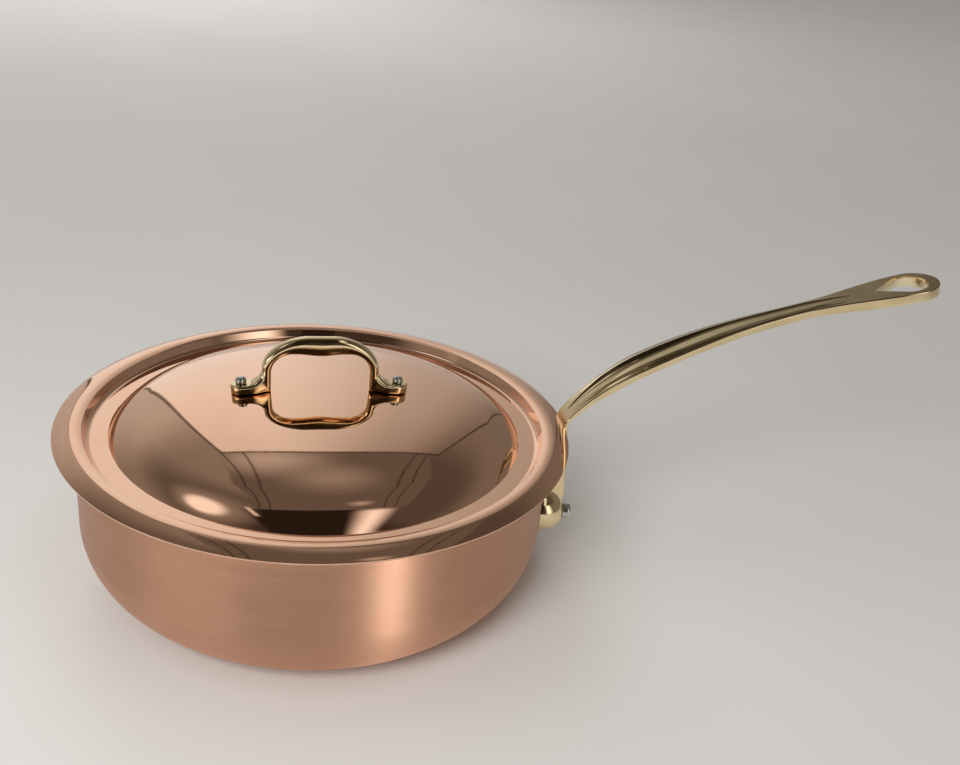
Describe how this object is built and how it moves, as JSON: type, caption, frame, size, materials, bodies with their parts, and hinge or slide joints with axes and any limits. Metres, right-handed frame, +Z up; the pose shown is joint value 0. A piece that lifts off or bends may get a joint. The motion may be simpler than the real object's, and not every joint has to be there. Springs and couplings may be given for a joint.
{
  "type": "saute pan",
  "caption": "Straight-sided copper saute pan with a long cast brass handle and a shallow domed lid that lifts off by its loop handle.",
  "frame": {"origin": "centre of the underside of the flat base, on the pan's axis", "axes": "+Z up along the pan's axis, +X from the axis towards the eye of the long handle"},
  "size_m": [0.495, 0.275, 0.1781],
  "materials": {
    "pan_copper": "satin copper",
    "pan_steel": "satin",
    "handle_brass": "polished",
    "rivet_steel": "polished",
    "lid_copper": "mirror-polished copper",
    "lid_steel": "satin",
    "lid_brass": "polished"
  },
  "bodies": {
    "pan": {"pan_body": "pan_copper", "pan_lining": "pan_steel", "pan_handle": "handle_brass", "pan_rivet_left": "rivet_steel", "pan_rivet_right": "rivet_steel"},
    "lid": {"lid_shell": "lid_copper", "lid_lining": "lid_steel", "lid_handle": "lid_brass", "lid_rivet_left": "rivet_steel", "lid_rivet_right": "rivet_steel"}
  },
  "joints": [
    {"name": "lid_lift", "type": "slide", "parent": "pan", "child": "lid", "axis": [0, 0, 1], "range_m": [0, 0.12]}
  ]
}
